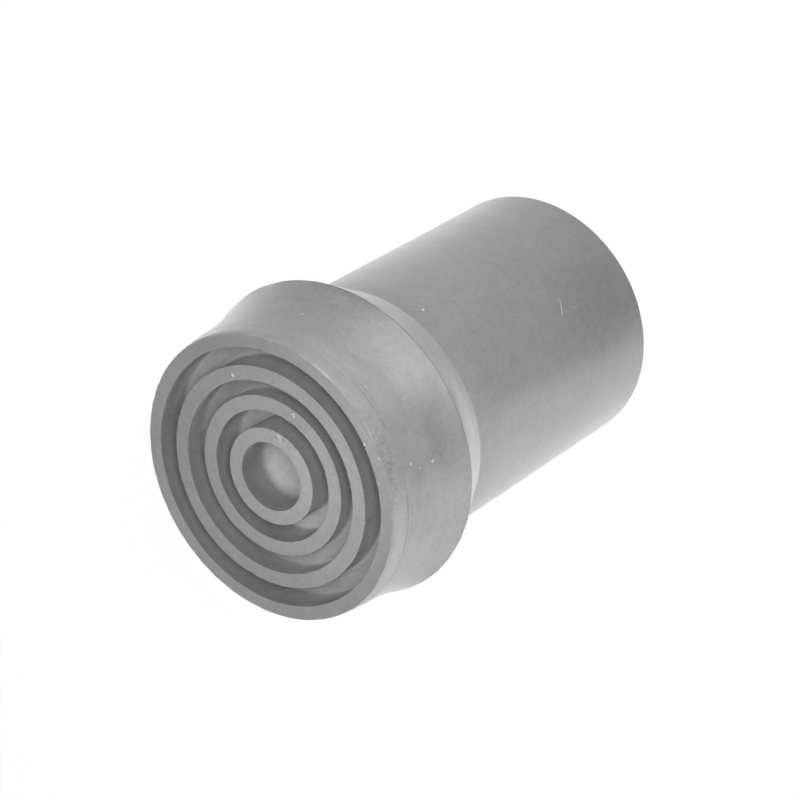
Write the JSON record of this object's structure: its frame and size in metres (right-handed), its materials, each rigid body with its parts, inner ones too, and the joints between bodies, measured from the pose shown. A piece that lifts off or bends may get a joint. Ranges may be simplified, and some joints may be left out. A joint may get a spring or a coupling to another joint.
{
  "type": "rubber cane tip",
  "caption": "One-piece moulded rubber tip that pushes onto the end of a cane, with a flared skirt and a tread of concentric rings.",
  "frame": {"origin": "centre of the mouth's rim, which the part stands on", "axes": "+Z along the axis, from the mouth up to the tread"},
  "size_m": [0.0348, 0.0348, 0.0486],
  "materials": {
    "rubber": "satin grey moulded rubber with fine grain"
  },
  "bodies": {
    "root": {"tip": "rubber"}
  },
  "joints": []
}
